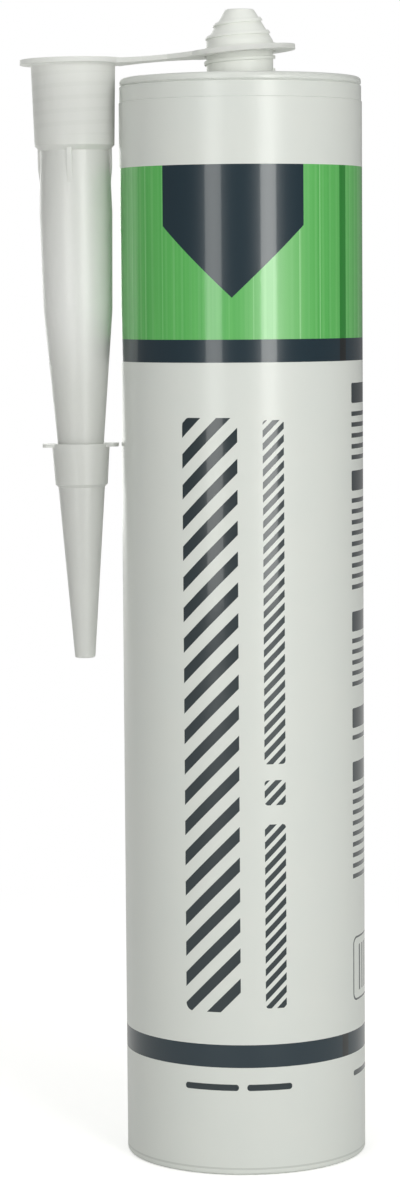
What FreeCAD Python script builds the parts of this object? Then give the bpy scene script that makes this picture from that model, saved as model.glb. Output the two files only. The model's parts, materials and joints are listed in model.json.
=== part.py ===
import FreeCAD, Part

import math
import os
import re

import Sketcher

# A 310 ml caulk cartridge standing on its rear rim, with its nozzle hanging from the neck by a strap.
# Millimetres and degrees, +Z up along the barrel. The origin is the centre of the rear rim's plane.

SIZES = {
    # barrel
    "barrel_radius": 25.0,
    "barrel_wall": 1.7,
    "barrel_height": 223.0,
    "rim_round": 0.8,
    "mouth_relief": 0.25,
    "mouth_depth": 13.0,
    "mouth_lead": 0.5,
    # shoulder, with a small bead round its top edge
    "shoulder_thickness": 2.0,
    "shoulder_inset": 0.15,
    "shoulder_drop": 5.0,
    "bead_height": 1.3,
    "bead_inset": 0.2,
    "groove_inset": 0.5,
    "groove_width": 0.5,
    "corner_round": 1.5,
    # neck, whose tip is closed until it is cut off
    "neck_radius": 6.85,
    "neck_wall": 1.45,
    "neck_height": 7.6,
    "neck_fillet": 1.3,
    "tip_radius": 2.9,
    "tip_height": 6.4,
    "tip_wall": 1.2,
    "tip_round": 0.5,
    # plunger, a cup with a sealing lip at each end
    "plunger_clearance": 0.06,
    "plunger_start": 17.0,
    "plunger_height": 22.0,
    "plunger_wall": 1.4,
    "plunger_face": 1.6,
    "waist_depth": 0.75,
    "lip_height": 3.0,
    "lip_slope": 0.8,
    "nose_chamfer": 1.2,
    # sealant, which fills the space ahead of the plunger
    "fill_gap": 0.06,
    "fill_face_gap": 0.1,
    # nozzle, from its outlet up to the cap's seat, and from its collar's foot down to its widest places
    "nozzle_length": 120.7,
    "nozzle_wall": 1.05,
    "outlet_radius": 1.5,
    "outlet_bore": 0.6,
    "seat_radius": 4.78,
    "seat_height": 42.0,
    "taper_radius": 7.12,
    "taper_drop": 33.7,
    "belly_radius": 7.5,
    "belly_drop": 13.7,
    "throat_radius": 7.15,
    "throat_drop": 2.2,
    "collar_wall": 0.82,
    "collar_draft": 0.45,
    "collar_height": 16.5,
    "thread_clearance": 0.55,
    "thread_floor": 2.0,
    "rib_proud": 0.5,
    "rib_width": 1.0,
    "rib_length": 9.0,
    "rib_turn": 6.0,
    "rib_count": 4,
    # flange round the nozzle's mouth, and the strap to the ring on the neck
    "flange_width": 2.23,
    "flange_thickness": 1.0,
    "flange_fillet": 0.5,
    "barrel_gap": 0.6,
    "strap_slope": 4.45,
    "strap_width": 6.4,
    "flare_width": 12.0,
    "flare_length": 3.5,
    "ring_clearance": 0.65,
    "ring_width": 3.9,
    "ring_height": 5.5,
    # cap on the nozzle's outlet, with two finger tabs at its rim
    "cap_clearance": 0.1,
    "cap_floor": 1.0,
    "cap_headroom": 1.6,
    "cap_wall": 0.65,
    "cap_end_wall": 0.5,
    "cap_end_round": 0.4,
    "cap_step": 0.6,
    "cap_collar_length": 9.0,
    "cap_rim_wall": 1.12,
    "tab_proud": 1.85,
    "tab_width": 5.5,
    "tab_thickness": 0.7,
    "tab_round": 1.2,
}

SAME = 0.001
FULL_TURN = 360

doc = FreeCAD.newDocument("caulk_tube")
sheet = doc.addObject("Spreadsheet::Sheet", "Sizes")
for row, (alias, size) in enumerate(SIZES.items(), start=1):
    sheet.set(f"A{row}", alias)
    sheet.set(f"B{row}", str(size))
    sheet.setAlias(f"B{row}", alias)
doc.recompute()


def sized(formula):
    """The formula with each size's name pointing at its cell in the sheet."""
    return re.sub(r"[a-z_]+", lambda word: f"Sizes.{word[0]}" if word[0] in SIZES else word[0], formula)


def new_body(name):
    body = doc.addObject("PartDesign::Body", name)
    body.Label = name
    return body


def origin_item(body, role):
    return next(item for item in body.Origin.OriginFeatures if item.Role == role)


def new_sketch(body, name, plane):
    sketch = body.newObject("Sketcher::SketchObject", name)
    sketch.AttachmentSupport = [(origin_item(body, plane), "")]
    sketch.MapMode = "FlatFace"
    return sketch


def place_point(sketch, geometry, point, across, up):
    """Ties a point to two distances from the sketch's origin, or to its axis where the distance is 0."""
    for kind, axis, formula in (("DistanceX", -2, across), ("DistanceY", -1, up)):
        if formula == "0":
            sketch.addConstraint(Sketcher.Constraint("PointOnObject", geometry, point, axis))
        else:
            index = sketch.addConstraint(Sketcher.Constraint(kind, -1, 1, geometry, point, 1.0))
            sketch.setExpression(f"Constraints[{index}]", sized(formula))


def draw_outline(sketch, corners):
    """A closed outline of straight lines through the corners, each given as two formulas."""
    count = len(corners)
    loose = [FreeCAD.Vector(math.cos(math.tau * i / count), math.sin(math.tau * i / count)) for i in range(count)]
    for i in range(count):
        sketch.addGeometry(Part.LineSegment(loose[i], loose[(i + 1) % count]))
    for i in range(count):
        sketch.addConstraint(Sketcher.Constraint("Coincident", i, 2, (i + 1) % count, 1))
    for i, (across, up) in enumerate(corners.values()):
        place_point(sketch, i, 1, across, up)


def draw_circle(sketch, across, radius):
    circle = sketch.addGeometry(Part.Circle(FreeCAD.Vector(1, 0, 0), FreeCAD.Vector(0, 0, 1), 1.0))
    place_point(sketch, circle, 3, across, "0")
    index = sketch.addConstraint(Sketcher.Constraint("Radius", circle, 1.0))
    sketch.setExpression(f"Constraints[{index}]", sized(radius))


def turn(body, name, corners, kind="Revolution"):
    """Turns an outline of radius and height about the body's own Z axis, to add or (Groove) to cut."""
    sketch = new_sketch(body, name + "_outline", "XZ_Plane")
    draw_outline(sketch, corners)
    feature = body.newObject("PartDesign::" + kind, name)
    feature.Profile = sketch
    feature.ReferenceAxis = (sketch, ["V_Axis"])
    feature.Angle = FULL_TURN
    doc.recompute()
    return feature


def thicken(body, name, sketch, depth, kind="Pad", side="One side"):
    feature = body.newObject("PartDesign::" + kind, name)
    feature.Profile = sketch
    feature.SideType = side
    feature.setExpression("Length", sized(depth))
    doc.recompute()
    return feature


def round_rings(body, name, feature, corners, names, radius):
    """Rounds the circles that the named corners of a turned outline have become."""
    order = list(corners)
    lines = feature.Profile[0].Geometry
    points = [lines[order.index(corner)].StartPoint for corner in names]
    base = body.Tip
    rings = [
        f"Edge{i}"
        for i, edge in enumerate(base.Shape.Edges, start=1)
        if isinstance(edge.Curve, Part.Circle)
        and any(math.dist((edge.Curve.Radius, edge.Curve.Center.z), (point.x, point.y)) < SAME for point in points)
    ]
    fillet = body.newObject("PartDesign::Fillet", name)
    fillet.Base = (base, rings)
    fillet.setExpression("Radius", sized(radius))
    doc.recompute()
    return fillet


# Heights and radii that several pieces share
BORE = "barrel_radius - barrel_wall"
SHOULDER_UNDER = "barrel_height - shoulder_thickness"
GROOVE_TOP = "barrel_height - bead_height"
NECK_BORE = "neck_radius - neck_wall"
NECK_TOP = "barrel_height + neck_height"
TIP_TOP = "barrel_height + neck_height + tip_height"
TIP_BORE = "tip_radius + (neck_radius - tip_radius) * tip_wall / tip_height - neck_wall"
LIP = "barrel_radius - barrel_wall - plunger_clearance"
PLUNGER_TOP = "plunger_start + plunger_height"
THREAD_BORE = "neck_radius + thread_clearance"
COLLAR = f"{THREAD_BORE} + collar_wall"
COLLAR_EDGE = f"{COLLAR} + collar_draft"
FLANGE = f"({COLLAR_EDGE} + flange_width)"
RING_BORE = "neck_radius + ring_clearance"
RING = f"({RING_BORE} + ring_width)"
CAP_TIP = "outlet_radius + cap_clearance"
CAP_SEAT = "seat_radius + cap_clearance"
CAP_RIM = f"{CAP_SEAT} + cap_rim_wall"
TAB_REACH = f"({CAP_RIM} + tab_proud)"

# The nozzle and its cap share one frame, whose origin is the middle of the cap's closed end
OUTLET = "cap_floor + cap_headroom"
MOUTH = f"{OUTLET} + nozzle_length"
SEAT = f"{OUTLET} + seat_height"
COLLAR_FOOT = f"{MOUTH} - flange_thickness - collar_height"

# The nozzle hangs so that its collar's edge and the cap's tab are equally clear of the barrel
REACH = f"(barrel_radius + barrel_gap + {COLLAR_EDGE})"
TAB_DROP = "(nozzle_length - seat_height - flange_thickness / 2)"
TILT = f"(asin(({COLLAR_EDGE} - {TAB_REACH}) / {TAB_DROP}) / 1 deg)"

# The strap leaves the edge of the flange and climbs to the middle of the ring
STRAP_LENGTH = f"(({REACH} - {FLANGE} * cos({TILT})) / cos(strap_slope))"


def make_cartridge():
    body = new_body("cartridge")
    corners = {
        "rim": ("barrel_radius", "0"),
        "shoulder_foot": ("barrel_radius", "barrel_height - shoulder_drop"),
        "shoulder_wall": ("barrel_radius - shoulder_inset", "barrel_height - shoulder_drop + shoulder_inset"),
        "groove_lower": ("barrel_radius - shoulder_inset", f"{GROOVE_TOP} - groove_width"),
        "groove_bottom": ("barrel_radius - groove_inset", f"{GROOVE_TOP} - groove_width / 2"),
        "groove_upper": ("barrel_radius - bead_inset", GROOVE_TOP),
        "bead": ("barrel_radius - bead_inset", "barrel_height"),
        "neck_foot": ("neck_radius", "barrel_height"),
        "neck_top": ("neck_radius", NECK_TOP),
        "tip": ("tip_radius", TIP_TOP),
        "tip_middle": ("0", TIP_TOP),
        "tip_under": ("0", f"{TIP_TOP} - tip_wall"),
        "tip_bore": (TIP_BORE, f"{TIP_TOP} - tip_wall"),
        "neck_bore_top": (NECK_BORE, NECK_TOP),
        "neck_bore_foot": (NECK_BORE, SHOULDER_UNDER),
        "bore_corner": (BORE, SHOULDER_UNDER),
        "bore_foot": (BORE, "mouth_depth + mouth_lead"),
        "mouth_top": (f"{BORE} + mouth_relief", "mouth_depth"),
        "mouth": (f"{BORE} + mouth_relief", "0"),
    }
    shell = turn(body, "shell", corners)
    round_rings(body, "outer_rounds", shell, corners, ["rim", "bead"], "rim_round")
    round_rings(body, "bore_round", shell, corners, ["bore_corner"], "corner_round")
    round_rings(body, "neck_round", shell, corners, ["neck_foot"], "neck_fillet")
    round_rings(body, "tip_edge", shell, corners, ["tip"], "tip_round")
    return body


def make_plunger():
    body = new_body("plunger")
    waist = f"{LIP} - waist_depth"
    corners = {
        "face_middle": ("0", PLUNGER_TOP),
        "nose": (f"{LIP} - nose_chamfer", PLUNGER_TOP),
        "front_lip_top": (LIP, f"{PLUNGER_TOP} - nose_chamfer"),
        "front_lip_foot": (LIP, f"{PLUNGER_TOP} - lip_height"),
        "waist_top": (waist, f"{PLUNGER_TOP} - lip_height - lip_slope"),
        "waist_foot": (waist, "plunger_start + lip_height + lip_slope"),
        "rear_lip_top": (LIP, "plunger_start + lip_height"),
        "rear_lip_foot": (LIP, "plunger_start"),
        "cup_edge": (f"{waist} - plunger_wall", "plunger_start"),
        "cup_corner": (f"{waist} - plunger_wall", f"{PLUNGER_TOP} - plunger_face"),
        "cup_middle": ("0", f"{PLUNGER_TOP} - plunger_face"),
    }
    cup = turn(body, "cup", corners)
    round_rings(body, "cup_round", cup, corners, ["cup_corner"], "corner_round")
    return body


def make_sealant():
    body = new_body("sealant")
    foot = f"{PLUNGER_TOP} + fill_face_gap"
    corners = {
        "foot_middle": ("0", foot),
        "foot": (f"{BORE} - fill_gap", foot),
        "corner": (f"{BORE} - fill_gap", f"{SHOULDER_UNDER} - fill_gap"),
        "neck_foot": (f"{NECK_BORE} - fill_gap", f"{SHOULDER_UNDER} - fill_gap"),
        "neck_top": (f"{NECK_BORE} - fill_gap", NECK_TOP),
        "tip": (f"{TIP_BORE} - fill_gap", f"{TIP_TOP} - tip_wall - fill_gap"),
        "tip_middle": ("0", f"{TIP_TOP} - tip_wall - fill_gap"),
    }
    fill = turn(body, "fill", corners)
    round_rings(body, "fill_round", fill, corners, ["corner"], "corner_round")
    return body


def hang(body):
    """Hangs a piece of the nozzle, whose own origin is the cap's closed end, from the strap."""
    down = f"({MOUTH} - flange_thickness / 2)"
    climb = f"({STRAP_LENGTH} * sin(strap_slope) + {FLANGE} * sin({TILT}))"
    body.Placement = FreeCAD.Placement(FreeCAD.Vector(), FreeCAD.Rotation(FreeCAD.Vector(0, 1, 0), 1))
    body.setExpression("Placement.Base.x", sized(f"-{REACH} + {down} * sin({TILT})"))
    body.setExpression("Placement.Base.z", sized(f"barrel_height + ring_height - {climb} - {down} * cos({TILT})"))
    body.setExpression("Placement.Rotation.Angle", sized(f"-{TILT}"))


def add_ribs(body):
    """Small upright ribs below the collar, the front one turned a little towards the strap's far side."""
    sketch = new_sketch(body, "rib_outline", "XZ_Plane")
    sketch.AttachmentOffset = FreeCAD.Placement(FreeCAD.Vector(), FreeCAD.Rotation(FreeCAD.Vector(0, 1, 0), 1))
    sketch.setExpression("AttachmentOffset.Rotation.Angle", sized("-rib_turn"))
    corners = {
        "root_foot": ("throat_radius - nozzle_wall / 2", f"{COLLAR_FOOT} - rib_length"),
        "foot": ("throat_radius", f"{COLLAR_FOOT} - rib_length"),
        "edge": ("throat_radius + rib_proud", f"{COLLAR_FOOT} - rib_length / 2"),
        "top": ("throat_radius + rib_proud", COLLAR_FOOT),
        "root_top": ("throat_radius - nozzle_wall / 2", COLLAR_FOOT),
    }
    draw_outline(sketch, corners)
    rib = thicken(body, "rib", sketch, "rib_width", side="Symmetric")
    ribs = body.newObject("PartDesign::PolarPattern", "ribs")
    ribs.Originals = [rib]
    ribs.Axis = (origin_item(body, "Z_Axis"), [""])
    ribs.Angle = FULL_TURN
    ribs.setExpression("Occurrences", sized("rib_count"))
    body.Tip = ribs
    doc.recompute()


def strap_sketch(body, name):
    """A sketch in the strap's plane, its origin at the flange's edge and its X axis towards the neck."""
    sketch = new_sketch(body, name, "XY_Plane")
    sketch.AttachmentOffset = FreeCAD.Placement(FreeCAD.Vector(), FreeCAD.Rotation(FreeCAD.Vector(0, 1, 0), -1))
    sketch.setExpression("AttachmentOffset.Base.x", sized(FLANGE))
    sketch.setExpression("AttachmentOffset.Base.z", sized(f"{MOUTH} - flange_thickness / 2"))
    sketch.setExpression("AttachmentOffset.Rotation.Angle", sized(f"{TILT} - strap_slope"))
    return sketch


def add_strap(body):
    band = strap_sketch(body, "band_outline")
    near = "-flare_length / 2"
    far = f"{STRAP_LENGTH} - {RING} + flare_length / 2"
    waist_start = "flare_length"
    waist_end = f"{STRAP_LENGTH} - {RING} - flare_length"
    upper = [(near, "flare_width / 2"), (waist_start, "strap_width / 2"), (waist_end, "strap_width / 2")]
    upper.append((far, "flare_width / 2"))
    lower = [(across, f"-{up}") for across, up in reversed(upper)]
    draw_outline(band, dict(enumerate(upper + lower)))
    thicken(body, "band", band, "flange_thickness", side="Symmetric")
    disc = strap_sketch(body, "ring_outline")
    draw_circle(disc, STRAP_LENGTH, RING)
    thicken(body, "ring", disc, "flange_thickness", side="Symmetric")
    hole = strap_sketch(body, "ring_hole_outline")
    draw_circle(hole, STRAP_LENGTH, RING_BORE)
    thicken(body, "ring_hole", hole, "flange_thickness * 3", kind="Pocket", side="Symmetric")


def make_nozzle():
    body = new_body("nozzle")
    corners = {
        "outlet_middle": ("0", OUTLET),
        "outlet": ("outlet_radius", OUTLET),
        "seat": ("seat_radius", SEAT),
        "taper": ("taper_radius", f"{COLLAR_FOOT} - taper_drop"),
        "belly": ("belly_radius", f"{COLLAR_FOOT} - belly_drop"),
        "throat": ("throat_radius", f"{COLLAR_FOOT} - throat_drop"),
        "chamfer": ("throat_radius", f"{COLLAR_FOOT} - ({COLLAR} - throat_radius)"),
        "collar_foot": (COLLAR, COLLAR_FOOT),
        "collar_top": (COLLAR_EDGE, f"{MOUTH} - flange_thickness"),
        "flange_under": (FLANGE, f"{MOUTH} - flange_thickness"),
        "flange_top": (FLANGE, MOUTH),
        "mouth_middle": ("0", MOUTH),
    }
    cone = turn(body, "cone", corners)
    round_rings(body, "flange_round", cone, corners, ["collar_top"], "flange_fillet")
    add_ribs(body)
    add_strap(body)
    ledge = f"{COLLAR_FOOT} + thread_floor - ({THREAD_BORE} - throat_radius + nozzle_wall)"
    bore = {
        "outlet_middle": ("0", OUTLET),
        "outlet": ("outlet_bore", OUTLET),
        "seat": ("seat_radius - nozzle_wall", SEAT),
        "taper": ("taper_radius - nozzle_wall", f"{COLLAR_FOOT} - taper_drop"),
        "belly": ("belly_radius - nozzle_wall", f"{COLLAR_FOOT} - belly_drop"),
        "throat": ("throat_radius - nozzle_wall", f"{COLLAR_FOOT} - throat_drop"),
        "ledge": ("throat_radius - nozzle_wall", ledge),
        "thread_foot": (THREAD_BORE, f"{COLLAR_FOOT} + thread_floor"),
        "thread_top": (THREAD_BORE, MOUTH),
        "mouth_middle": ("0", MOUTH),
    }
    turn(body, "bore", bore, kind="Groove")
    hang(body)
    return body


def round_tabs(body, name):
    """Rounds the four upright corners of the two finger tabs, which are the edges farthest out."""
    base = body.Tip
    distances = [math.hypot(*edge.CenterOfMass[:2]) for edge in base.Shape.Edges]
    corners = [f"Edge{i}" for i, out in enumerate(distances, start=1) if max(distances) - out < SAME]
    fillet = body.newObject("PartDesign::Fillet", name)
    fillet.Base = (base, corners)
    fillet.setExpression("Radius", sized("tab_round"))
    doc.recompute()


def make_cap():
    body = new_body("nozzle_cap")
    cone_top = f"{CAP_SEAT} - (seat_radius - outlet_radius) * cap_collar_length / seat_height + cap_wall"
    corners = {
        "end_middle": ("0", "0"),
        "end": (f"{CAP_TIP} + cap_end_wall", "0"),
        "cone_top": (cone_top, f"{SEAT} - cap_collar_length"),
        "collar_foot": (f"{cone_top} + cap_step", f"{SEAT} - cap_collar_length + cap_step"),
        "rim": (CAP_RIM, SEAT),
        "rim_middle": ("0", SEAT),
    }
    cone = turn(body, "cap_cone", corners)
    round_rings(body, "end_round", cone, corners, ["end"], "cap_end_round")
    tabs = new_sketch(body, "tab_outline", "XY_Plane")
    tabs.setExpression("AttachmentOffset.Base.z", sized(f"{SEAT} - tab_thickness"))
    signs = [(1, 1), (-1, 1), (-1, -1), (1, -1)]
    draw_outline(tabs, {sign: (f"{sign[0]} * {TAB_REACH}", f"{sign[1]} * tab_width / 2") for sign in signs})
    thicken(body, "tabs", tabs, "tab_thickness")
    round_tabs(body, "tab_corners")
    bore = {
        "floor_middle": ("0", "cap_floor"),
        "floor": (CAP_TIP, "cap_floor"),
        "headroom": (CAP_TIP, OUTLET),
        "rim": (CAP_SEAT, SEAT),
        "rim_middle": ("0", SEAT),
    }
    turn(body, "cap_bore", bore, kind="Groove")
    hang(body)
    return body


parts = [make_cartridge(), make_plunger(), make_sealant(), make_nozzle(), make_cap()]
doc.recompute()

for item in doc.Objects:
    if {"Invalid", "Error"} & set(item.State):
        raise RuntimeError(f"{item.Name} failed: {item.State}")
for part in parts:
    if part.Shape.isNull() or not part.Shape.isValid() or len(part.Shape.Solids) != 1:
        raise RuntimeError(f"{part.Label} is not one valid solid")

os.makedirs("parts", exist_ok=True)
for part in parts:
    part.Shape.exportStep(f"parts/{part.Label}.step")
    print(f"{part.Label}: {part.Shape.Volume / 1000:.2f} ml")
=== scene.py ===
import json
import math

import bpy
from mathutils import Matrix, Vector


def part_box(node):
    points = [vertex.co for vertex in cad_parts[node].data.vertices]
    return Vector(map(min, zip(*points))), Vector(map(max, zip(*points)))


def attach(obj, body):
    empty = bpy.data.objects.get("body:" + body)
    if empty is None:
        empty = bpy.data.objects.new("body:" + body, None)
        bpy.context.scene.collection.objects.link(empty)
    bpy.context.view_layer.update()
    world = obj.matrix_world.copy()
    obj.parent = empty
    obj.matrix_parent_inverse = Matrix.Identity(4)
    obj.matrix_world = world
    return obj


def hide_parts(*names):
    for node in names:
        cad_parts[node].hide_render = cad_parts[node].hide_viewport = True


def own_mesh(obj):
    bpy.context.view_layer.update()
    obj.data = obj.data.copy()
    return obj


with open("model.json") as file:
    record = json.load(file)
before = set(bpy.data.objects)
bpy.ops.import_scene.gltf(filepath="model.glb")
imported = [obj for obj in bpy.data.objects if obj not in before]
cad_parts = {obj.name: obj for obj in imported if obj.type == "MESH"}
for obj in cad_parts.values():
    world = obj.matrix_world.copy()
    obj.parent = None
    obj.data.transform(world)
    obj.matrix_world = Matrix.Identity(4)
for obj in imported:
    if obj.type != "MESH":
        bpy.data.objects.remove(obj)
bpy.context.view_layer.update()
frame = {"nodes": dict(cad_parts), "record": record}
mm = 0.001
print("frame loaded")


# Shared helpers

def hexToLinear(hexColor):
    channels = [int(hexColor[i:i + 2], 16) / 255 for i in (1, 3, 5)]
    return [c / 12.92 if c <= 0.04045 else ((c + 0.055) / 1.055) ** 2.4 for c in channels] + [1.0]


def addNode(tree, kind, inputs=None, **settings):
    made = tree.nodes.new("ShaderNode" + kind)
    for name, value in settings.items():
        setattr(made, name, value)
    for name, value in (inputs or {}).items():
        if isinstance(value, bpy.types.Node):
            tree.links.new(value.outputs[0], made.inputs[name])
        elif isinstance(value, bpy.types.NodeSocket):
            tree.links.new(value, made.inputs[name])
        else:
            made.inputs[name].default_value = value
    return made


def newMaterial(name):
    material = bpy.data.materials.new(name)
    material.use_nodes = True
    material.node_tree.nodes.clear()
    return material, material.node_tree


def finishMaterial(tree, shader):
    addNode(tree, "OutputMaterial", {"Surface": shader})


def paint(obj, material):
    obj.data.materials.clear()
    obj.data.materials.append(material)


def startEdit(obj):
    bpy.ops.object.select_all(action="DESELECT")
    obj.select_set(True)
    bpy.context.view_layer.objects.active = obj
    bpy.ops.object.mode_set(mode="EDIT")
    bpy.ops.mesh.select_all(action="DESELECT")


def endEdit():
    bpy.ops.object.mode_set(mode="OBJECT")


def selectWhere(obj, test):
    # vertices are picked by their place, in object mode, and the picked ones carry into edit mode
    bpy.ops.object.mode_set(mode="OBJECT")
    for vertex in obj.data.vertices:
        vertex.select = bool(test(vertex.co))
    bpy.ops.object.mode_set(mode="EDIT")


def settle(obj, name):
    # puts the finished object at the origin, with its place in its mesh
    obj.name = name
    obj.data.name = name
    bpy.ops.object.select_all(action="DESELECT")
    obj.select_set(True)
    bpy.context.view_layer.objects.active = obj
    bpy.ops.object.transform_apply(location=True, rotation=True, scale=True)
    return obj


# Where things are, read from the frame

barrelLow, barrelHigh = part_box("cartridge")
barrelRadius = barrelHigh.x
record = frame["record"]
threadMount = next(mount for mount in record["mounts"] if mount["name"] == "nozzle_thread")
mouthCentre = Vector(threadMount["pos_m"])
nozzleUp = Vector(threadMount["axis"])
nozzleTurn = nozzleUp.to_track_quat("Z", "Y").to_matrix().to_4x4()

neck = {
    "radius": 6.85 * mm,
    "top": 230.6 * mm,
}


# Threads

neckThread = {
    "pitch": 2.6 * mm,
    "crest": 0.45 * mm,  # how far it stands out from the neck
    "sunk": 0.5 * mm,
    "rootWidth": 1.9 * mm,
    "crestShare": 0.4,
    "bottom": 224.7 * mm,
    "turns": 4,
    "topRadius": 4.3 * mm,  # how far out its last turn reaches on the cone
    "steps": 64,
}


# how the edges of a thread's section are softened
ridgeEdges = {
    "bevelShare": 0.35,  # of how far the ridge stands out
    "bevelSegments": 2,
    "bevelAngle": math.radians(25),
    "smoothAngle": math.radians(75),
    "weld": 0.001 * mm,
}


def threadRidge(name, radius, thread):
    # a ridge with a four-sided section, wound upwards from the object's own origin
    out, sunk, width = thread["crest"], thread["sunk"], thread["rootWidth"]
    middle = radius + (out - sunk) / 2
    bpy.ops.object.select_all(action="DESELECT")
    bpy.ops.mesh.primitive_circle_add(
        vertices=4, radius=width / math.sqrt(2), location=(middle, 0, 0),
        rotation=(math.pi / 2, math.pi / 4, 0))
    ridge = bpy.context.object
    settle(ridge, name)
    startEdit(ridge)
    bpy.ops.mesh.select_all(action="SELECT")
    bpy.ops.transform.resize(value=(abs(out + sunk) / width, 1, 1), center_override=(middle, 0, 0))
    selectWhere(ridge, lambda co: (co.x - middle) * out > 0)
    bpy.ops.transform.resize(value=(1, 1, thread["crestShare"]), center_override=(middle, 0, 0))
    endEdit()
    screw = ridge.modifiers.new("winding", "SCREW")
    screw.angle = math.tau
    screw.screw_offset = thread["pitch"]
    screw.iterations = thread["turns"]
    screw.steps = thread["steps"]
    screw.render_steps = thread["steps"]
    bpy.ops.object.modifier_apply(modifier=screw.name)
    startEdit(ridge)
    bpy.ops.mesh.select_all(action="SELECT")
    bpy.ops.mesh.remove_doubles(threshold=ridgeEdges["weld"])
    bpy.ops.mesh.fill_holes(sides=0)
    bpy.ops.mesh.select_all(action="SELECT")
    bpy.ops.mesh.normals_make_consistent(inside=False)
    endEdit()
    soft = ridge.modifiers.new("softCrest", "BEVEL")
    soft.width = abs(out) * ridgeEdges["bevelShare"]
    soft.segments = ridgeEdges["bevelSegments"]
    soft.limit_method = "ANGLE"
    soft.angle_limit = ridgeEdges["bevelAngle"]
    bpy.ops.object.modifier_apply(modifier=soft.name)
    bpy.ops.object.shade_smooth_by_angle(angle=ridgeEdges["smoothAngle"])
    return ridge


def makeNeckThread():
    ridge = threadRidge("neckThread", neck["radius"], neckThread)
    ridge.location = (0, 0, neckThread["bottom"] - neck["top"])
    settle(ridge, "neckThread")
    # above the neck's top the thread draws in with the cone
    heights = [vertex.co.z for vertex in ridge.data.vertices]
    taper = ridge.modifiers.new("cone", "SIMPLE_DEFORM")
    taper.deform_method = "TAPER"
    taper.deform_axis = "Z"
    taper.factor = neckThread["topRadius"] / (neck["radius"] + neckThread["crest"]) - 1
    taper.limits = (-min(heights) / (max(heights) - min(heights)), 1)
    bpy.ops.object.modifier_apply(modifier=taper.name)
    ridge.location = (0, 0, neck["top"])
    settle(ridge, "neckThread")
    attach(ridge, "cartridge")
    return ridge


collarThread = {
    "radius": 7.4 * mm,
    "crest": -0.4 * mm,  # it stands inwards
    "sunk": -0.1 * mm,
    "rootWidth": 1.5 * mm,
    "crestShare": 0.4,
    "pitch": 2.6 * mm,
    "turns": 4,
    "steps": 64,
    "below": 13.2 * mm,  # from the mouth down to the thread's lower end
}


def makeCollarThread():
    ridge = threadRidge("collarThread", collarThread["radius"], collarThread)
    lowered = Matrix.Translation((0, 0, -collarThread["below"]))
    ridge.matrix_world = Matrix.Translation(mouthCentre) @ nozzleTurn @ lowered
    settle(ridge, "collarThread")
    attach(ridge, "nozzle")
    return ridge


# Sealant

sealant = {
    "radius": 23.24 * mm,
    "foot": 39.1 * mm,
    "shoulder": 220.94 * mm,
    "neckRadius": 5.34 * mm,
    "neckTop": 235.7 * mm,
    "tipShare": 0.4,  # of the neck's width, at the neck's top
    "round": 1.5 * mm,
    "roundSegments": 3,
    "roundAngle": math.radians(50),
    "smoothAngle": math.radians(40),
    "segments": 96,
}


def makeSealant():
    bpy.ops.object.select_all(action="DESELECT")
    middle = (sealant["foot"] + sealant["shoulder"]) / 2
    bpy.ops.mesh.primitive_cylinder_add(
        vertices=sealant["segments"], radius=sealant["radius"],
        depth=sealant["shoulder"] - sealant["foot"], location=(0, 0, middle))
    fill = settle(bpy.context.object, "sealantFill")
    startEdit(fill)
    selectWhere(fill, lambda co: co.z > middle)
    bpy.ops.mesh.inset(thickness=sealant["radius"] - sealant["neckRadius"])
    bpy.ops.mesh.extrude_region_move(
        TRANSFORM_OT_translate={"value": (0, 0, neck["top"] - sealant["shoulder"])})
    bpy.ops.mesh.extrude_region_move(
        TRANSFORM_OT_translate={"value": (0, 0, sealant["neckTop"] - neck["top"])})
    bpy.ops.transform.resize(
        value=(sealant["tipShare"], sealant["tipShare"], 1),
        center_override=(0, 0, sealant["neckTop"]))
    endEdit()
    soft = fill.modifiers.new("softEdges", "BEVEL")
    soft.width = sealant["round"]
    soft.segments = sealant["roundSegments"]
    soft.angle_limit = sealant["roundAngle"]
    bpy.ops.object.modifier_apply(modifier=soft.name)
    bpy.ops.object.shade_smooth_by_angle(angle=sealant["smoothAngle"])
    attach(fill, "cartridge")
    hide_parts("sealant")
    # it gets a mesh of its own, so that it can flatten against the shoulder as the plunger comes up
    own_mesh(fill)
    return fill


# Printed barrel: moulded white polyethylene with flat inks straight on it. To the eye it is an
# even, slightly warm white with soft reflections, and sharper reflections where there is ink.

ink = {
    "white": "#D4D8D4",
    "whiteWarm": "#D9DBD6",
    "rimShade": "#8F938C",
    # painted light: the neck is painted whiter than the rest of the bare plastic, to lift it out of
    # the shade of the ring and the strap
    "neck": "#EDEFEA",
    "green": "#46A64A",
    "greenLight": "#68BB64",
    "stripe": "#B4E6AE",
    "seam": "#1F7F28",
    "navy": "#102833",
    "navySeam": "#050D10",
    "marks": "#1A282E",
}

# heights and places round the barrel in millimetres, counted from its rear rim and from its
# front line
printed = {
    "greenBand": (169.9, 204.7),
    "upperRing": (165.3, 169.9),
    "lowerRing": (22.3, 27.0),
    # painted shade: a thin darker line just above the rear rim, for the shade of the rim's chamfer
    "rimShadeLine": (1.2, 1.6),
    "rimShadeStrength": 0.3,
    "neckFoot": 222.0,
    "neckFade": 3.0,
    "inkDepth": 0.5,  # surfaces further in than this are bare
    "varnish": 0.6,
    "bodyRoughness": 0.28,
    "neckRoughness": 0.45,
    "seamPlace": 24.1,
    "seamWidth": 2.2,
    "panelMiddle": -1.9,
    "panelHalf": 15.05,
    "panelShoulder": 192.6,
    "panelTip": 178.2,
    "streakStretch": (1.1, 0.01, 1),  # narrow round the barrel and long up it
    "stripes": [(4.9, 0.05, 0.5), (1.9, 0.3, 0.12)],  # pitch, share of the pitch, strength
    "paintedGlowMiddle": 7.0,  # painted highlight: the green is painted paler beside the panel's tip, where the right-hand lamp's reflection spreads
    "paintedGlowHalf": 10.5,
    "paintedGlowStrength": 0.32,
    "linePitch": 2.216,
    "lineShift": 1.758,
    "lineStart": 27.5,
    "lineEnd": 52.0,
    "lineRagged": 9.0,
    "lineShare": 0.42,  # of the pitch
}

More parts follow.
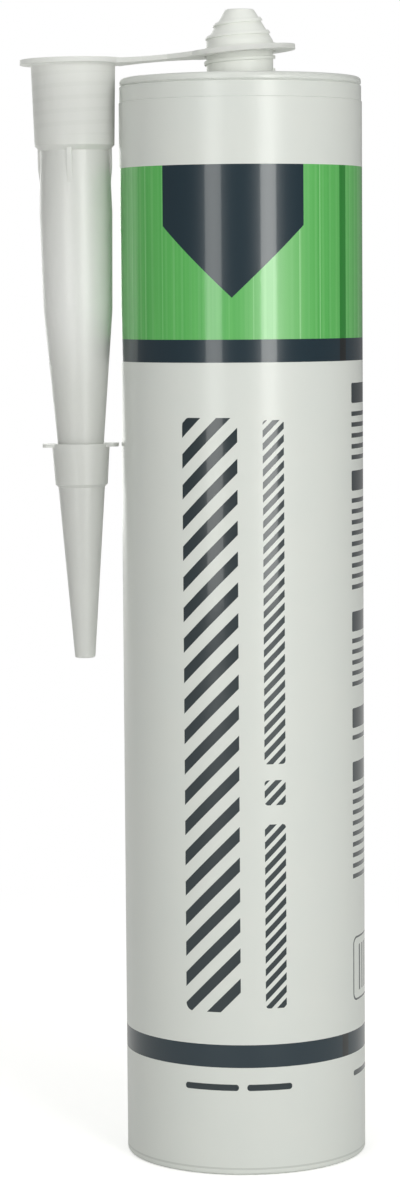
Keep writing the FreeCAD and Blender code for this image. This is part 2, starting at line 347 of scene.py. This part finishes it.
# fields of slanting strokes up the front: middle round the barrel, middle height,
# width round, length up, rounding, stroke pitch, share of the pitch
strokeFields = [
    (-6.8, 94.0, 11.6, 120.6, 1.6, 6.2, 0.47),
    (6.3, 53.3, 4.4, 37.7, 0.7, 2.6, 0.57),
    (6.3, 78.6, 4.4, 5.1, 0.7, 2.6, 0.57),
    (6.3, 119.1, 4.4, 69.4, 0.7, 2.6, 0.57),
]

# plain rounded bars: middle round the barrel, middle height, width round, length up, rounding
plainBars = [
    (-7.2, 18.2, 11.4, 1.3, 0.6),
    (4.9, 18.2, 9.4, 1.3, 0.6),
    (33.5, 18.0, 12.0, 1.1, 0.5),
    (33.0, 158.7, 11.0, 4.1, 0.4),
    (34.5, 140.8, 14.0, 4.1, 0.4),
    (32.5, 111.9, 10.0, 4.1, 0.4),
    (34.0, 92.0, 13.0, 4.1, 0.4),
    (33.2, 80.9, 11.4, 4.1, 0.4),
]

# blocks of fine lines on the right: first and last line, counted up from the rear rim
lineBlocks = [(66, 70), (54, 62), (45, 49), (40, 40), (27, 35)]

# a framed box of plain stripes under them
stripedBox = {
    "frame": (38.0, 39.8, 21.0, 13.4, 1.6),
    "inside": (38.0, 39.8, 20.2, 12.6, 1.3),
    "stripes": (38.0, 39.8, 16.0, 9.6, 0.2),
    "pitch": 2.0,
    "share": 0.45,  # of the pitch
}


def barMask(tree, place, bar):
    # 1 inside a rounded bar, by its distance from the bar's straight core
    across, up, width, length, rounding = bar
    offset = addNode(tree, "VectorMath", {0: place, 1: (across, up, 0)}, operation="SUBTRACT")
    folded = addNode(tree, "VectorMath", {0: offset}, operation="ABSOLUTE")
    core = (width / 2 - rounding, length / 2 - rounding, 0)
    beyond = addNode(tree, "VectorMath", {0: folded, 1: core}, operation="SUBTRACT")
    outside = addNode(tree, "VectorMath", {0: beyond, 1: (0, 0, 0)}, operation="MAXIMUM")
    distance = addNode(tree, "VectorMath", {0: outside}, operation="LENGTH").outputs["Value"]
    return addNode(tree, "Math", {0: distance, 1: rounding}, operation="LESS_THAN")


def strokeMask(tree, along, pitch, share):
    # 1 on the strokes of a row with this pitch
    turns = addNode(tree, "Math", {0: along, 1: pitch}, operation="DIVIDE")
    part = addNode(tree, "Math", {0: turns}, operation="FRACT")
    return addNode(tree, "Math", {0: part, 1: 0.5, 2: share / 2}, operation="COMPARE")


def withinBand(height, band):
    # the inputs of a comparison that is 1 between the band's two heights
    low, high = band
    return {0: height, 1: (low + high) / 2, 2: (high - low) / 2}


def joinMasks(tree, masks, operation):
    # MAXIMUM keeps what any of the masks covers, MULTIPLY what all of them cover
    joined = masks[0]
    for mask in masks[1:]:
        joined = addNode(tree, "Math", {0: joined, 1: mask}, operation=operation)
    return joined


def layColors(tree, ground, layers):
    # each colour covers those before it, as far as its own mask says
    for mask, color in layers:
        inputs = {0: mask, 6: ground, 7: color}
        for index in (6, 7):
            if isinstance(inputs[index], str):
                inputs[index] = hexToLinear(inputs[index])
        ground = addNode(tree, "Mix", inputs, data_type="RGBA").outputs[2]
    return ground


def makePrintedBarrel():
    material, tree = newMaterial("printedPolyethylene")
    here = addNode(tree, "TexCoord").outputs["Object"]
    split = addNode(tree, "SeparateXYZ", {0: here})
    behind = addNode(tree, "Math", {0: split.outputs["Y"], 1: -1.0}, operation="MULTIPLY")
    turn = addNode(tree, "Math", {0: split.outputs["X"], 1: behind}, operation="ARCTAN2")
    around = addNode(tree, "Math", {0: turn, 1: barrelRadius / mm}, operation="MULTIPLY")
    height = addNode(tree, "Math", {0: split.outputs["Z"], 1: 1 / mm}, operation="MULTIPLY")
    place = addNode(tree, "CombineXYZ", {0: around, 1: height})

    # the green field: lighter stripes and a soft unevenness from the printing roller. The stripes
    # are drawn a little coarser than on a real tube, because finer ones wouldn't show.
    stretched = addNode(
        tree, "VectorMath", {0: place, 1: printed["streakStretch"]}, operation="MULTIPLY")
    streaks = addNode(tree, "TexNoise", {"Vector": stretched, "Scale": 1.0, "Detail": 3.0})
    greenLayers = [(streaks, ink["greenLight"])]
    for pitch, share, strength in printed["stripes"]:
        turns = addNode(tree, "Math", {0: around, 1: pitch}, operation="DIVIDE")
        number = addNode(tree, "Math", {0: turns}, operation="FLOOR")
        chance = addNode(tree, "TexWhiteNoise", {"W": number}, noise_dimensions="1D")
        weight = addNode(
            tree, "Math", {0: chance.outputs["Value"], 1: strength}, operation="MULTIPLY")
        stripe = joinMasks(tree, [strokeMask(tree, around, pitch, share), weight], "MULTIPLY")
        greenLayers.append((stripe, ink["stripe"]))
    # painted highlight: the green is painted paler beside the panel's tip, where the right-hand
    # lamp's reflection spreads
    fromPaintedGlow = addNode(
        tree, "Math", {0: around, 1: printed["paintedGlowMiddle"]}, operation="SUBTRACT")
    paintedGlowAside = addNode(tree, "Math", {0: fromPaintedGlow}, operation="ABSOLUTE")
    paintedGlow = addNode(tree, "MapRange", {
        0: paintedGlowAside, 1: 0.0, 2: printed["paintedGlowHalf"], 3: printed["paintedGlowStrength"], 4: 0.0,
    }, interpolation_type="SMOOTHSTEP")
    greenLayers.append((paintedGlow, ink["stripe"]))
    green = layColors(tree, ink["green"], greenLayers)
    onGreen = addNode(tree, "Math", withinBand(height, printed["greenBand"]), operation="COMPARE")

    # the inks overlap in a darker seam where the print meets itself
    seamInputs = {0: around, 1: printed["seamPlace"], 2: printed["seamWidth"] / 2}
    seam = addNode(tree, "Math", seamInputs, operation="COMPARE")
    greenSeam = joinMasks(tree, [seam, onGreen], "MULTIPLY")
    navy = layColors(tree, ink["navy"], [(seam, ink["navySeam"])])
    upperRing = addNode(tree, "Math", withinBand(height, printed["upperRing"]), operation="COMPARE")
    lowerRing = addNode(tree, "Math", withinBand(height, printed["lowerRing"]), operation="COMPARE")
    rings = joinMasks(tree, [upperRing, lowerRing], "MAXIMUM")

    # the dark pointed panel, left plain
    fromMiddle = addNode(
        tree, "Math", {0: around, 1: printed["panelMiddle"]}, operation="SUBTRACT")
    aside = addNode(tree, "Math", {0: fromMiddle}, operation="ABSOLUTE")
    slope = (printed["panelShoulder"] - printed["panelTip"]) / printed["panelHalf"]
    edge = addNode(
        tree, "Math", {0: aside, 1: slope, 2: printed["panelTip"]}, operation="MULTIPLY_ADD")
    above = addNode(tree, "Math", {0: height, 1: edge}, operation="GREATER_THAN")
    within = addNode(
        tree, "Math", {0: aside, 1: printed["panelHalf"]}, operation="LESS_THAN")
    panel = joinMasks(tree, [above, within, onGreen], "MULTIPLY")

    # the plain marks
    slant = addNode(tree, "Math", {0: around, 1: height}, operation="SUBTRACT")
    slant = addNode(tree, "Math", {0: slant, 1: 1 / math.sqrt(2)}, operation="MULTIPLY")
    marks = [barMask(tree, place, bar) for bar in plainBars]
    for field in strokeFields:
        strokes = strokeMask(tree, slant, field[5] / math.sqrt(2), field[6])
        marks.append(joinMasks(tree, [barMask(tree, place, field[:5]), strokes], "MULTIPLY"))
    frameMask = barMask(tree, place, stripedBox["frame"])
    insideMask = barMask(tree, place, stripedBox["inside"])
    marks.append(addNode(tree, "Math", {0: frameMask, 1: insideMask}, operation="SUBTRACT"))
    stripes = strokeMask(tree, around, stripedBox["pitch"], stripedBox["share"])
    marks.append(joinMasks(
        tree, [barMask(tree, place, stripedBox["stripes"]), stripes], "MULTIPLY"))

    # fine lines with ragged ends, drawn coarser than on a real tube so that they show
    pitch = printed["linePitch"]
    lineHeight = addNode(tree, "Math", {0: height, 1: printed["lineShift"]}, operation="ADD")
    lineTurns = addNode(tree, "Math", {0: lineHeight, 1: pitch}, operation="DIVIDE")
    lineNumber = addNode(tree, "Math", {0: lineTurns}, operation="FLOOR")
    lineChance = addNode(tree, "TexWhiteNoise", {"W": lineNumber}, noise_dimensions="1D")
    lineEnd = addNode(tree, "Math", {
        0: lineChance.outputs["Value"], 1: -printed["lineRagged"], 2: printed["lineEnd"],
    }, operation="MULTIPLY_ADD")
    beforeEnd = addNode(tree, "Math", {0: around, 1: lineEnd}, operation="LESS_THAN")
    afterStart = addNode(
        tree, "Math", {0: around, 1: printed["lineStart"]}, operation="GREATER_THAN")
    lines = strokeMask(tree, lineHeight, pitch, printed["lineShare"])
    bands = [(first * pitch, (last + 1) * pitch) for first, last in lineBlocks]
    blocks = joinMasks(tree, [
        addNode(tree, "Math", withinBand(lineHeight, band), operation="COMPARE")
        for band in bands], "MAXIMUM")
    marks.append(joinMasks(tree, [lines, beforeEnd, afterStart, blocks], "MULTIPLY"))
    inked = joinMasks(tree, marks, "MAXIMUM")

    # bare plastic, and the inks over it in the order that they are printed
    mottle = addNode(tree, "TexNoise", {"Vector": place, "Scale": 0.09, "Detail": 3.0})
    # painted shade: a thin darker line just above the rear rim, for the shade of the rim's chamfer
    rimShadeLine = addNode(tree, "Math", withinBand(height, printed["rimShadeLine"]), operation="COMPARE")
    rimShade = addNode(tree, "Math", {0: rimShadeLine, 1: printed["rimShadeStrength"]}, operation="MULTIPLY")
    # from the neck's foot up the plastic is painted whiter, as painted light against the shade of
    # the ring and the strap, and it is also duller there
    onNeck = addNode(tree, "MapRange", {
        0: height, 1: printed["neckFoot"], 2: printed["neckFoot"] + printed["neckFade"]})
    plastic = layColors(tree, ink["white"], [
        (mottle, ink["whiteWarm"]),
        (rimShade, ink["rimShade"]),
        (onNeck, ink["neck"]),
    ])
    inks = layColors(tree, plastic, [
        (onGreen, green),
        (greenSeam, ink["seam"]),
        (rings, navy),
        (panel, ink["navy"]),
        (inked, ink["marks"]),
    ])

    # only the outer wall is printed, and not the bore
    flat = addNode(tree, "CombineXYZ", {0: split.outputs["X"], 1: split.outputs["Y"]})
    reach = addNode(tree, "VectorMath", {0: flat}, operation="LENGTH").outputs["Value"]
    outer = addNode(tree, "Math", {
        0: reach, 1: barrelRadius - printed["inkDepth"] * mm}, operation="GREATER_THAN")
    surface = layColors(tree, plastic, [(outer, inks)])

    # the inks are glossier than the bare plastic
    anyInk = joinMasks(tree, [onGreen, rings, inked], "MAXIMUM")
    fields = joinMasks(tree, [anyInk, outer], "MULTIPLY")
    varnish = addNode(tree, "Math", {0: fields, 1: printed["varnish"]}, operation="MULTIPLY")
    grain = addNode(tree, "TexNoise", {"Vector": place, "Scale": 1.6, "Detail": 3.0})
    bump = addNode(tree, "Bump", {"Height": grain, "Strength": 0.02, "Distance": 0.1 * mm})
    dull = addNode(tree, "MapRange", {
        0: onNeck, 3: printed["bodyRoughness"], 4: printed["neckRoughness"]})
    shader = addNode(tree, "BsdfPrincipled", {
        "Base Color": surface,
        "Roughness": dull,
        "IOR": 1.5,
        "Coat Weight": varnish,
        "Coat Roughness": 0.07,
        "Normal": bump,
    })
    finishMaterial(tree, shader)
    return material


# Nozzle, cap and the collar's thread: natural polyethylene without pigment. To the eye it is
# milky and waxy, lit through where the wall is thin, with broad soft highlights.

milky = {
    "deep": "#E1E2DF",
    "clear": "#EBECE9",
    "highlightPaint": "#FCFCFB",  # painted highlight: the cone is painted lightest round its middle, where its broad highlight falls
    "highlightPaintBand": (156.0, 178.0, 206.0),
    "highlightPaintAtTop": 0.3,
    "threadTone": "#C2C6BF",  # the collar's inner thread shows through its wall
    "threadBand": (211.5, 224.5),
    "threadShows": 0.1,
    "threadPitch": 2.6,
    "threadShare": 0.35,  # of the pitch
    "collarFoot": 209.5,  # the collar's outside is duller than the drawn cone
    "collarFade": 1.0,
    "coneRoughness": 0.4,
    "collarRoughness": 0.6,
    "coneCoat": 1.0,
    "collarCoat": 0.15,
    "thin": 0.36,  # how much light passes through the wall
}


def makeMilkyPlastic():
    material, tree = newMaterial("milkyPolyethylene")
    here = addNode(tree, "TexCoord").outputs["Object"]
    clouds = addNode(tree, "TexNoise", {"Vector": here, "Scale": 60.0, "Detail": 2.0})

    # the thread climbs one pitch a turn round the collar's own axis
    centred = addNode(tree, "VectorMath", {0: here, 1: tuple(mouthCentre)}, operation="SUBTRACT")
    split = addNode(tree, "SeparateXYZ", {0: centred})
    turn = addNode(
        tree, "Math", {0: split.outputs["Y"], 1: split.outputs["X"]}, operation="ARCTAN2")
    whole = addNode(tree, "SeparateXYZ", {0: here})
    height = addNode(tree, "Math", {0: whole.outputs["Z"], 1: 1 / mm}, operation="MULTIPLY")
    # painted highlight: a lighter band round the cone's middle, rising from its foot to full at its
    # middle and falling to a part of that at its top
    foot, middle, top = milky["highlightPaintBand"]
    rising = addNode(
        tree, "MapRange", {0: height, 1: foot, 2: middle}, interpolation_type="SMOOTHSTEP")
    falling = addNode(tree, "MapRange", {
        0: height, 1: middle, 2: top, 3: 1.0, 4: milky["highlightPaintAtTop"],
    }, interpolation_type="SMOOTHSTEP")
    paintedHighlight = joinMasks(tree, [rising, falling], "MULTIPLY")
    climb = addNode(tree, "Math", {
        0: turn, 1: -milky["threadPitch"] / math.tau, 2: height}, operation="MULTIPLY_ADD")
    ridges = strokeMask(tree, climb, milky["threadPitch"], milky["threadShare"])
    onCollar = addNode(tree, "Math", withinBand(height, milky["threadBand"]), operation="COMPARE")
    shows = joinMasks(tree, [ridges, onCollar], "MULTIPLY")
    faint = addNode(tree, "Math", {0: shows, 1: milky["threadShows"]}, operation="MULTIPLY")
    tone = layColors(tree, milky["deep"], [
        (clouds, milky["clear"]), (paintedHighlight, milky["highlightPaint"]), (faint, milky["threadTone"])])

    # from the cone's finish to the collar's
    change = {0: height, 1: milky["collarFoot"], 2: milky["collarFoot"] + milky["collarFade"]}
    dull = addNode(tree, "MapRange", {
        **change, 3: milky["coneRoughness"], 4: milky["collarRoughness"]})
    waxy = addNode(tree, "MapRange", {**change, 3: milky["coneCoat"], 4: milky["collarCoat"]})
    ripple = addNode(tree, "TexNoise", {"Vector": here, "Scale": 900.0, "Detail": 2.0})
    bump = addNode(tree, "Bump", {"Height": ripple, "Strength": 0.04, "Distance": 0.2 * mm})
    shell = addNode(tree, "BsdfPrincipled", {
        "Base Color": tone,
        "Roughness": dull,
        "IOR": 1.51,
        "Specular IOR Level": 0.9,
        "Coat Weight": waxy,
        "Coat IOR": 1.65,
        "Coat Roughness": 0.38,
        "Subsurface Weight": 0.3,
        "Subsurface Radius": (1.0, 1.0, 0.95),
        "Subsurface Scale": 2.0 * mm,
        "Normal": bump,
    })
    through = addNode(tree, "BsdfTranslucent", {"Color": hexToLinear(milky["clear"])})
    wall = addNode(tree, "MixShader", {0: milky["thin"], 1: shell, 2: through})
    finishMaterial(tree, wall)
    return material


# Plunger: polyethylene, left as it comes from the mould. To the eye it is a plain warm white,
# duller than the barrel, with a fine grain.

plungerFinish = {
    "deep": "#DDDFD6",
    "clear": "#E8E9E2",
    "grainScale": 700.0,
    "roughness": 0.42,
}


def makePlungerPlastic():
    material, tree = newMaterial("whitePolyethylene")
    here = addNode(tree, "TexCoord").outputs["Object"]
    fine = addNode(
        tree, "TexNoise", {"Vector": here, "Scale": plungerFinish["grainScale"], "Detail": 3.0})
    tone = layColors(tree, plungerFinish["deep"], [(fine, plungerFinish["clear"])])
    bump = addNode(tree, "Bump", {"Height": fine, "Strength": 0.05, "Distance": 0.2 * mm})
    shader = addNode(tree, "BsdfPrincipled", {
        "Base Color": tone,
        "Roughness": plungerFinish["roughness"],
        "IOR": 1.51,
        "Normal": bump,
    })
    finishMaterial(tree, shader)
    return material


# Filling: white acrylic paste. To the eye it is thick and wet, with soft reflections that smears
# break up.

pasteFinish = {
    "deep": "#E9EAE6",
    "clear": "#F2F2EE",
    "smearScale": 120.0,
    "roughness": 0.3,
}


def makePaste():
    material, tree = newMaterial("acrylicPaste")
    here = addNode(tree, "TexCoord").outputs["Object"]
    smears = addNode(
        tree, "TexNoise", {"Vector": here, "Scale": pasteFinish["smearScale"], "Detail": 4.0})
    tone = layColors(tree, pasteFinish["deep"], [(smears, pasteFinish["clear"])])
    bump = addNode(tree, "Bump", {"Height": smears, "Strength": 0.3, "Distance": 0.5 * mm})
    shader = addNode(tree, "BsdfPrincipled", {
        "Base Color": tone,
        "Roughness": pasteFinish["roughness"],
        "IOR": 1.45,
        "Normal": bump,
    })
    finishMaterial(tree, shader)
    return material


printedBarrel = makePrintedBarrel()
milkyNozzle = makeMilkyPlastic()
print("materials made")

nodes = frame["nodes"]
paint(nodes["cartridge"], printedBarrel)
paint(nodes["plunger"], makePlungerPlastic())
paint(nodes["nozzle"], milkyNozzle)
paint(nodes["nozzle_cap"], milkyNozzle)
paint(makeNeckThread(), printedBarrel)
paint(makeCollarThread(), milkyNozzle)
paint(makeSealant(), makePaste())
print("pieces made")


# Floor, lights and camera

studio = {
    "floorSize": 6.0,
    "floorLift": 0.46,
    "floorColor": "#F2F2F0",
    "shadowNear": 0.08,  # the floor is plain white beyond the far distance
    "shadowFar": 0.32,
    "fill": 0.355,
    "gloss": 0.2,
    "stripFoot": 0.03,
    # azimuth from the front, distance, width, height, power, whether it shows in the gloss
    "leftStrip": (-25.8, 1.0, 0.27, 0.6, 1.9, True),
    "rightStrip": (25.6, 1.0, 0.26, 0.6, 3.1, True),
    "softKey": (35, 1.4, 0.6, 1.1, 3.8, False),
    "backFill": (-160, 1.4, 0.9, 1.0, 6.5, True),
    "topHeight": 1.5,
    "topFill": (0.8, 0.8, 3.0, True),  # width, depth, power, whether it shows in the gloss
    "lampColor": "#FBFCF9",
}


def makeFloor():
    bpy.ops.object.select_all(action="DESELECT")
    bpy.ops.mesh.primitive_plane_add(size=studio["floorSize"], location=(0, 0, barrelLow.z))
    floor = bpy.context.object
    floor.name = "floor"
    material, tree = newMaterial("paleFloor")
    here = addNode(tree, "TexCoord").outputs["Object"]
    away = addNode(tree, "VectorMath", {0: here}, operation="LENGTH").outputs["Value"]
    faded = addNode(tree, "MapRange", {
        0: away, 1: studio["shadowNear"], 2: studio["shadowFar"]}, interpolation_type="SMOOTHSTEP")
    base = addNode(tree, "BsdfDiffuse", {"Color": hexToLinear(studio["floorColor"])})
    lift = addNode(
        tree, "Emission", {"Color": (1, 1, 1, 1), "Strength": studio["floorLift"]})
    near = addNode(tree, "AddShader", {0: base, 1: lift})
    white = addNode(tree, "Emission", {"Color": (1, 1, 1, 1), "Strength": 1.0})
    shown = addNode(tree, "MixShader", {0: faded, 1: near, 2: white})
    path = addNode(tree, "LightPath")
    seen = addNode(tree, "MixShader", {0: path.outputs["Is Camera Ray"], 1: base, 2: shown})
    finishMaterial(tree, seen)
    paint(floor, material)


def makeWorld():
    # white behind the object and through it, an even fill on it, and a dimmer room for its gloss
    world = bpy.data.worlds.new("studio")
    world.use_nodes = True
    tree = world.node_tree
    tree.nodes.clear()
    path = addNode(tree, "LightPath")
    lit = addNode(tree, "MapRange", {
        0: path.outputs["Is Glossy Ray"], 3: studio["fill"], 4: studio["gloss"]})
    seen = addNode(tree, "Math", {
        0: path.outputs["Is Camera Ray"], 1: path.outputs["Is Transmission Ray"],
    }, operation="MAXIMUM")
    strength = addNode(tree, "MapRange", {0: seen, 3: lit, 4: 1.0})
    sky = addNode(tree, "Background", {"Color": (1, 1, 1, 1), "Strength": strength})
    addNode(tree, "OutputWorld", {"Surface": sky})
    bpy.context.scene.world = world


def addPanel(name, place, turned, width, tall, power, shines):
    light = bpy.data.lights.new(name, "AREA")
    light.shape = "RECTANGLE"
    light.size = width
    light.size_y = tall
    light.energy = power
    light.color = hexToLinear(studio["lampColor"])[:3]
    lamp = bpy.data.objects.new(name, light)
    bpy.context.scene.collection.objects.link(lamp)
    lamp.visible_glossy = shines
    lamp.location = place
    lamp.rotation_euler = turned


def addUprightPanel(name, azimuth, away, width, tall, power, shines):
    # a panel that stands and faces the tube
    angle = math.radians(azimuth)
    place = (away * math.sin(angle), -away * math.cos(angle), studio["stripFoot"] + tall / 2)
    addPanel(name, place, (math.pi / 2, 0, angle), width, tall, power, shines)


# worked out from the photograph: the barrel's two ends and its axis fix where the lens stood
cameraView = {
    "place": (0, -0.7126, 0.17929),
    "pitch": -0.0887,
    "yaw": 0.012616,
    "roll": -0.0075,
    "lens": 103.45,
    "sensorWidth": 36,
}


def makeCamera():
    camera = bpy.data.cameras.new("camera")
    camera.lens = cameraView["lens"]
    camera.sensor_width = cameraView["sensorWidth"]
    holder = bpy.data.objects.new("camera", camera)
    bpy.context.scene.collection.objects.link(holder)
    holder.location = cameraView["place"]
    turned = (
        Matrix.Rotation(cameraView["yaw"], 3, "Z")
        @ Matrix.Rotation(math.pi / 2 + cameraView["pitch"], 3, "X")
        @ Matrix.Rotation(cameraView["roll"], 3, "Z"))
    holder.rotation_euler = turned.to_euler()
    bpy.context.scene.camera = holder


makeFloor()
makeWorld()
for name in ("leftStrip", "rightStrip", "softKey", "backFill"):
    addUprightPanel(name, *studio[name])
addPanel("topFill", (0, 0, studio["topHeight"]), (0, 0, 0), *studio["topFill"])
makeCamera()
bpy.context.scene.view_settings.view_transform = "Standard"
print("studio made")
